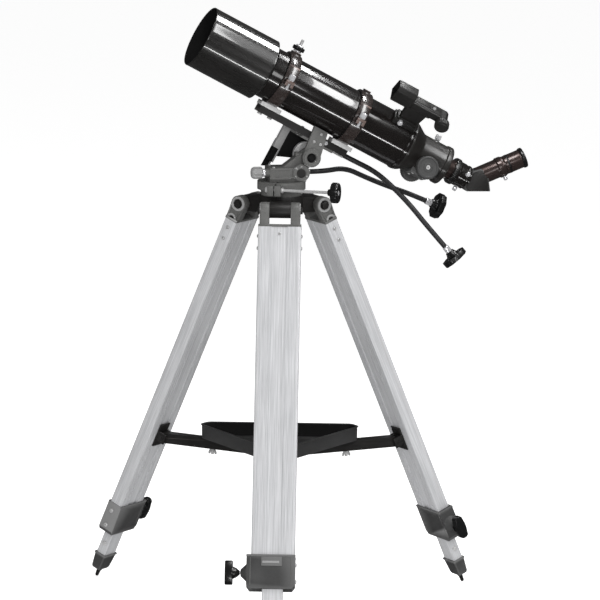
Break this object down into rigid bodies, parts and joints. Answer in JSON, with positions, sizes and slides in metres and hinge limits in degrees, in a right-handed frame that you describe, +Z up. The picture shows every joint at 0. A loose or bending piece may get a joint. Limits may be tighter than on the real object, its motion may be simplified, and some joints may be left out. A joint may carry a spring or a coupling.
{
  "type": "refractor telescope",
  "caption": "Short refractor telescope in tube rings on a geared alt-azimuth head with flexible cable controls, on an extending tripod with a tray.",
  "frame": {"origin": "on the floor, under the azimuth axis, level with the tips of the three feet", "axes": "+Z up; the front leg points to -Y; at rest the tube's open end points to -X, a little to -Y and up"},
  "size_m": [0.8567, 0.695, 1.1724],
  "materials": {
    "tube_gloss_black": "gloss",
    "lens_cell_black": "satin",
    "ring_black": "gloss",
    "head_grey": "satin",
    "bar_grey": "satin",
    "leg_silver": "satin",
    "foot_silver": "satin",
    "lower_leg_silver": "satin",
    "steel": "brushed",
    "chrome": "polished",
    "cast_black": "matte",
    "shoe_black": "matte",
    "tray_black": "satin",
    "arm_black": "satin",
    "knob_black": "satin",
    "lock_grey": "satin",
    "cable_black": "satin",
    "finder_black": "satin",
    "diagonal_black": "matte",
    "eyepiece_black": "gloss",
    "glass": "polished"
  },
  "bodies": {
    "tripod": {"hub": "cast_black", "azimuth_base": "head_grey", "leg_heads": "cast_black", "leg_bolts": "steel", "upper_leg_front": "leg_silver", "upper_leg_left": "leg_silver", "upper_leg_right": "leg_silver", "leg_collars": "cast_black", "tray_brackets": "cast_black", "tray_arms": "arm_black", "tray_bolts": "steel", "accessory_tray": "tray_black"},
    "leg_front": {"lower_leg_front": "lower_leg_silver", "foot_front": "shoe_black"},
    "leg_left": {"lower_leg_left": "lower_leg_silver", "foot_left": "shoe_black"},
    "leg_right": {"lower_leg_right": "lower_leg_silver", "foot_right": "shoe_black"},
    "leg_knob_front": {"leg_knob_front": "knob_black"},
    "leg_knob_left": {"leg_knob_left": "knob_black"},
    "leg_knob_right": {"leg_knob_right": "knob_black"},
    "azimuth_clamp": {"azimuth_clamp_rod": "steel", "azimuth_clamp_knob": "knob_black"},
    "azimuth_wheel": {"azimuth_wheel": "steel"},
    "head": {"azimuth_head": "head_grey", "azimuth_cable": "cable_black"},
    "azimuth_worm": {"azimuth_worm": "steel"},
    "azimuth_knob": {"azimuth_cable_knob": "knob_black"},
    "altitude_lock": {"altitude_lock_knob": "lock_grey"},
    "altitude_wheel": {"altitude_wheel": "steel", "altitude_axle": "steel"},
    "saddle": {"saddle": "head_grey", "mounting_bar": "bar_grey", "ring_feet": "foot_silver", "ring_lower_front": "ring_black", "ring_lower_rear": "ring_black", "altitude_cable": "cable_black"},
    "altitude_worm": {"altitude_worm": "steel"},
    "altitude_knob": {"altitude_cable_knob": "knob_black"},
    "ring_front": {"ring_upper_front": "ring_black"},
    "ring_rear": {"ring_upper_rear": "ring_black"},
    "ring_screw_front": {"ring_screw_front": "chrome"},
    "ring_screw_rear": {"ring_screw_rear": "chrome"},
    "camera_screw": {"camera_screw": "chrome"},
    "tube": {"tube": "tube_gloss_black", "lens_cell": "lens_cell_black", "objective_lenses": "glass", "focuser": "lens_cell_black", "finder_shoe": "finder_black", "finder": "finder_black"},
    "dew_shield": {"dew_shield": "tube_gloss_black"},
    "drawtube": {"drawtube": "chrome", "drawtube_collar": "eyepiece_black"},
    "focus": {"focus_shaft": "steel", "focus_knobs": "knob_black"},
    "focus_lock": {"focus_lock_screw": "chrome"},
    "diagonal": {"diagonal": "diagonal_black", "diagonal_prism": "glass"},
    "eyepiece": {"eyepiece": "eyepiece_black"},
    "finder_dial": {"finder_dial": "finder_black"}
  },
  "joints": [
    {"name": "leg_front_extend", "type": "slide", "parent": "tripod", "child": "leg_front", "axis": [0, -0.4051, -0.9143], "range_m": [0, 0.45]},
    {"name": "leg_knob_front_turn", "type": "hinge", "parent": "tripod", "child": "leg_knob_front", "pos_m": [-0.045, -0.36508, 0.13139], "axis": [-1, 0, 0], "range_deg": [-180, 180]},
    {"name": "leg_left_extend", "type": "slide", "parent": "tripod", "child": "leg_left", "axis": [-0.3509, 0.2026, -0.9143], "range_m": [0, 0.45]},
    {"name": "leg_knob_left_turn", "type": "hinge", "parent": "tripod", "child": "leg_knob_left", "pos_m": [-0.29367, 0.22151, 0.13139], "axis": [0.5, 0.866, 0], "range_deg": [-180, 180]},
    {"name": "leg_right_extend", "type": "slide", "parent": "tripod", "child": "leg_right", "axis": [0.3509, 0.2026, -0.9143], "range_m": [0, 0.45]},
    {"name": "leg_knob_right_turn", "type": "hinge", "parent": "tripod", "child": "leg_knob_right", "pos_m": [0.33867, 0.14357, 0.13139], "axis": [0.5, -0.866, 0], "range_deg": [-180, 180]},
    {"name": "azimuth_clamp_turn", "type": "hinge", "parent": "tripod", "child": "azimuth_clamp", "pos_m": [-0.01165, -0.0517, 0.822], "axis": [0.9755, -0.2198, 0], "range_deg": [-180, 180]},
    {"name": "azimuth_slew", "type": "hinge", "parent": "tripod", "child": "azimuth_wheel", "pos_m": [0, 0, 0.834], "axis": [0, 0, 1], "continuous": true},
    {"name": "azimuth_fine", "type": "hinge", "parent": "azimuth_wheel", "child": "head", "pos_m": [0, 0, 0.8475], "axis": [0, 0, 1], "continuous": true},
    {"name": "azimuth_worm_turn", "type": "hinge", "parent": "head", "child": "azimuth_worm", "pos_m": [-0.00429, 0.01748, 0.8475], "axis": [0.9711, 0.2385, 0], "continuous": true},
    {"name": "azimuth_knob_turn", "type": "hinge", "parent": "head", "child": "azimuth_knob", "pos_m": [0.28064, 0.15285, 0.776], "axis": [0.8546, 0.3268, -0.4035], "continuous": true},
    {"name": "altitude_lock_turn", "type": "hinge", "parent": "head", "child": "altitude_lock", "pos_m": [-0.03114, -0.02413, 0.852], "axis": [0.9711, 0.2385, 0], "range_deg": [-180, 180]},
    {"name": "altitude_slew", "type": "hinge", "parent": "head", "child": "altitude_wheel", "pos_m": [0.05147, 0.01264, 0.8805], "axis": [-0.2385, 0.9711, 0], "range_deg": [-22, 15]},
    {"name": "altitude_fine", "type": "hinge", "parent": "altitude_wheel", "child": "saddle", "pos_m": [0.05147, 0.01264, 0.8805], "axis": [-0.2385, 0.9711, 0], "range_deg": [-5, 5]},
    {"name": "altitude_worm_turn", "type": "hinge", "parent": "saddle", "child": "altitude_worm", "pos_m": [0.06087, 0.03997, 0.90956], "axis": [0.8551, 0.21, -0.4741], "range_deg": [-301, 301]},
    {"name": "altitude_knob_turn", "type": "hinge", "parent": "saddle", "child": "altitude_knob", "pos_m": [0.31968, 0.03373, 0.703], "axis": [0.6579, 0.0215, -0.7528], "range_deg": [-301, 301]},
    {"name": "ring_front_open", "type": "hinge", "parent": "saddle", "child": "ring_front", "pos_m": [-0.01533, 0.05802, 1.03113], "axis": [-0.8551, -0.21, 0.4741], "range_deg": [0, 100]},
    {"name": "ring_screw_front_turn", "type": "hinge", "parent": "ring_front", "child": "ring_screw_front", "pos_m": [0.01677, -0.06075, 1.03641], "axis": [0.4604, 0.1131, 0.8805], "range_deg": [-180, 180]},
    {"name": "ring_rear_open", "type": "hinge", "parent": "saddle", "child": "ring_rear", "pos_m": [0.12233, 0.09183, 0.9548], "axis": [-0.8551, -0.21, 0.4741], "range_deg": [0, 100]},
    {"name": "ring_screw_rear_turn", "type": "hinge", "parent": "ring_rear", "child": "ring_screw_rear", "pos_m": [0.15444, -0.02694, 0.96008], "axis": [0.4604, 0.1131, 0.8805], "range_deg": [-180, 180]},
    {"name": "camera_screw_turn", "type": "hinge", "parent": "ring_front", "child": "camera_screw", "pos_m": [0.02661, 0.00654, 1.08396], "axis": [0.4604, 0.1131, 0.8805], "range_deg": [-180, 180]},
    {"name": "tube_slide", "type": "slide", "parent": "saddle", "child": "tube", "axis": [0.8551, 0.21, -0.4741], "range_m": [-0.03, 0.02]},
    {"name": "dew_shield_slide", "type": "slide", "parent": "tube", "child": "dew_shield", "axis": [-0.8551, -0.21, 0.4741], "range_m": [0, 0.03]},
    {"name": "focus_travel", "type": "slide", "parent": "tube", "child": "drawtube", "axis": [0.8551, 0.21, -0.4741], "range_m": [-0.013, 0.05]},
    {"name": "focus_turn", "type": "hinge", "parent": "tube", "child": "focus", "pos_m": [0.26737, 0.05968, 0.85199], "axis": [-0.329, 0.9264, -0.1831], "range_deg": [-130, 500]},
    {"name": "focus_lock_turn", "type": "hinge", "parent": "tube", "child": "focus_lock", "pos_m": [0.30146, 0.08261, 0.90676], "axis": [0.4007, 0.3125, 0.8612], "range_deg": [-180, 180]},
    {"name": "diagonal_turn", "type": "hinge", "parent": "drawtube", "child": "diagonal", "pos_m": [0.35982, 0.08838, 0.83106], "axis": [0.8551, 0.21, -0.4741], "continuous": true},
    {"name": "eyepiece_slide", "type": "slide", "parent": "diagonal", "child": "eyepiece", "axis": [0.9023, 0.2216, 0.3697], "range_m": [0, 0.02]},
    {"name": "finder_dial_turn", "type": "hinge", "parent": "tube", "child": "finder_dial", "pos_m": [0.31023, -0.00421, 0.95162], "axis": [0.1132, 0.8166, 0.566], "range_deg": [0, 300]}
  ],
  "couplings": [
    {"joint": "azimuth_worm_turn", "follows": "azimuth_fine", "ratio": 60},
    {"joint": "azimuth_knob_turn", "follows": "azimuth_fine", "ratio": 60},
    {"joint": "altitude_worm_turn", "follows": "altitude_fine", "ratio": 60},
    {"joint": "altitude_knob_turn", "follows": "altitude_fine", "ratio": 60},
    {"joint": "focus_turn", "follows": "focus_travel", "rad_per_m": 172.41}
  ]
}
